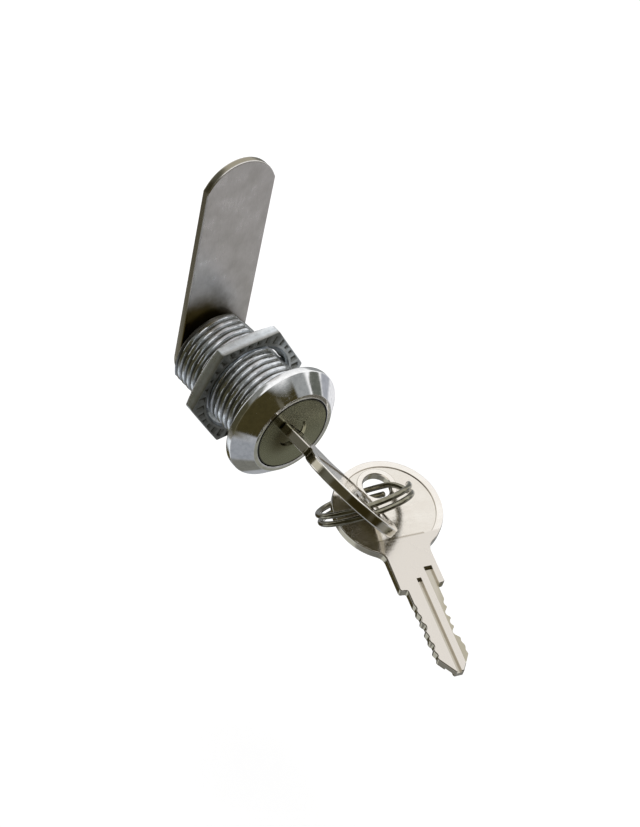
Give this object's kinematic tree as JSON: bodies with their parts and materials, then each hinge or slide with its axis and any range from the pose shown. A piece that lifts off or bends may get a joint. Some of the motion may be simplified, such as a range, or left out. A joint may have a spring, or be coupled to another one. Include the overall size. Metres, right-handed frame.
{
  "type": "mailbox cam lock",
  "caption": "Round cam lock with a bevelled chrome head, threaded double-D barrel, toothed hex nut, straight flat cam, and keys on a split ring.",
  "frame": {"origin": "on the lock's axis, in the plane of the head's underside that seats on the panel", "axes": "+Y along the lock's axis into the panel, from the face to the tail; +Z the way the cam points at rest; +X to the right as seen from the front"},
  "size_m": [0.0342, 0.084, 0.0598],
  "materials": {
    "chrome_zinc": "polished",
    "plug_zinc": "satin",
    "zinc_steel": "satin",
    "cam_steel": "satin",
    "spring_steel": "satin",
    "nut_zinc": "satin",
    "key_nickel": "brushed",
    "ring_nickel": "polished",
    "wafer_brass": "satin"
  },
  "bodies": {
    "housing": {"housing": "chrome_zinc"},
    "plug": {"plug": "plug_zinc", "stop_washer": "zinc_steel", "cam": "cam_steel", "lock_washer": "spring_steel", "cam_nut": "zinc_steel", "wafer_spring_1": "spring_steel", "wafer_spring_2": "spring_steel", "wafer_spring_3": "spring_steel", "wafer_spring_4": "spring_steel", "wafer_spring_5": "spring_steel", "wafer_spring_6": "spring_steel"},
    "wafer_1": {"wafer_1": "wafer_brass"},
    "wafer_2": {"wafer_2": "wafer_brass"},
    "wafer_3": {"wafer_3": "wafer_brass"},
    "wafer_4": {"wafer_4": "wafer_brass"},
    "wafer_5": {"wafer_5": "wafer_brass"},
    "wafer_6": {"wafer_6": "wafer_brass"},
    "mounting_nut": {"mounting_nut": "nut_zinc"},
    "key": {"key_in_lock": "key_nickel"},
    "ring": {"split_ring": "ring_nickel"},
    "spare_key": {"spare_key": "key_nickel"}
  },
  "joints": [
    {"name": "plug_turn", "type": "hinge", "parent": "housing", "child": "plug", "pos_m": [0, 0, 0], "axis": [0, 1, 0], "range_deg": [0, 90]},
    {"name": "key_slide", "type": "slide", "parent": "plug", "child": "key", "axis": [0, -1, 0], "range_m": [0, 0.0185]},
    {"name": "nut_travel", "type": "slide", "parent": "housing", "child": "mounting_nut", "axis": [0, 1, 0], "range_m": [-0.0088, 0.0094]},
    {"name": "ring_swing", "type": "hinge", "parent": "key", "child": "ring", "pos_m": [0.00021, -0.0273, -0.00021], "axis": [0.7071, 0, 0.7071], "range_deg": [-60, 3]},
    {"name": "spare_key_swing", "type": "hinge", "parent": "ring", "child": "spare_key", "pos_m": [0.01197, -0.01726, -0.00818], "axis": [-0.1215, -0.1616, 0.9794], "range_deg": [-5, 45]},
    {"name": "wafer_1_slide", "type": "slide", "parent": "plug", "child": "wafer_1", "axis": [-0.7071, 0, 0.7071], "range_m": [0, 0.0007], "deforming": ["wafer_spring_1"]},
    {"name": "wafer_2_slide", "type": "slide", "parent": "plug", "child": "wafer_2", "axis": [0.7071, 0, -0.7071], "range_m": [0, 0.0007], "deforming": ["wafer_spring_2"]},
    {"name": "wafer_3_slide", "type": "slide", "parent": "plug", "child": "wafer_3", "axis": [-0.7071, 0, 0.7071], "range_m": [0, 0.0007], "deforming": ["wafer_spring_3"]},
    {"name": "wafer_4_slide", "type": "slide", "parent": "plug", "child": "wafer_4", "axis": [0.7071, 0, -0.7071], "range_m": [0, 0.0007], "deforming": ["wafer_spring_4"]},
    {"name": "wafer_5_slide", "type": "slide", "parent": "plug", "child": "wafer_5", "axis": [-0.7071, 0, 0.7071], "range_m": [0, 0.0007], "deforming": ["wafer_spring_5"]},
    {"name": "wafer_6_slide", "type": "slide", "parent": "plug", "child": "wafer_6", "axis": [0.7071, 0, -0.7071], "range_m": [0, 0.0007], "deforming": ["wafer_spring_6"]}
  ],
  "couplings": [
    {"joint": "wafer_1_slide", "follows": "key_slide", "ratio": 0.037838},
    {"joint": "wafer_2_slide", "follows": "key_slide", "ratio": 0.037838},
    {"joint": "wafer_3_slide", "follows": "key_slide", "ratio": 0.037838},
    {"joint": "wafer_4_slide", "follows": "key_slide", "ratio": 0.037838},
    {"joint": "wafer_5_slide", "follows": "key_slide", "ratio": 0.037838},
    {"joint": "wafer_6_slide", "follows": "key_slide", "ratio": 0.037838}
  ]
}
